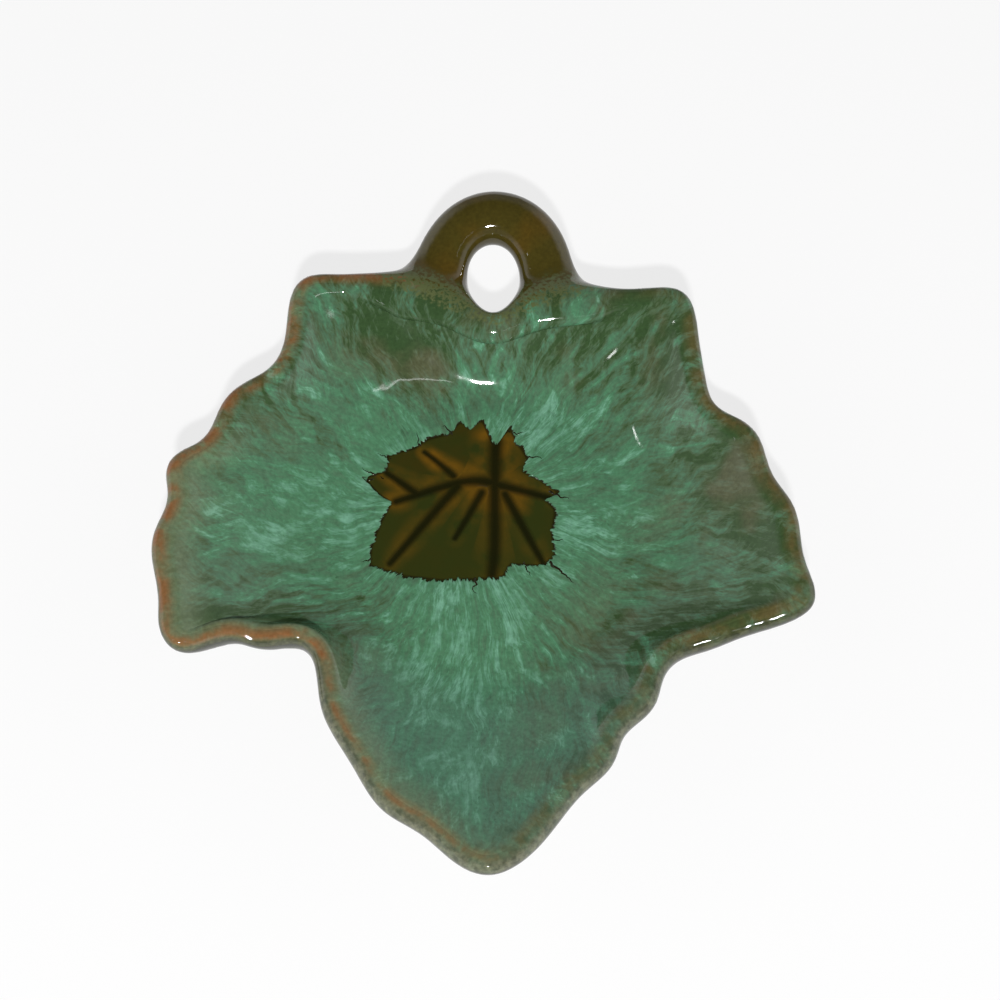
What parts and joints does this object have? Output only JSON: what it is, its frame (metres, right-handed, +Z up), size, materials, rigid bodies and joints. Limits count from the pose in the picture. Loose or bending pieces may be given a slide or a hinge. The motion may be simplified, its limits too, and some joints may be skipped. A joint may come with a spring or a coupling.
{
  "type": "leaf-shaped ring dish",
  "caption": "Shallow leaf-shaped pottery dish with a scalloped ruffled wall, impressed veins and a finger loop at the stem, for rings and small things.",
  "frame": {"origin": "centre of the foot ring, on the surface that the dish stands on", "axes": "+Z up out of the dish, +Y from the leaf's centre to the loop at its stem, +X to the right seen from the leaf's tip"},
  "size_m": [0.1501, 0.1711, 0.0286],
  "materials": {
    "glazed_clay": "gloss",
    "teal_glaze": "gloss",
    "brown_glaze": "gloss",
    "bare_clay": "matte"
  },
  "bodies": {
    "root": {"leaf_bowl": "glazed_clay", "loop_handle": "glazed_clay", "foot_ring": "bare_clay", "drip_glaze": "teal_glaze", "pool_glaze": "brown_glaze"}
  },
  "joints": []
}
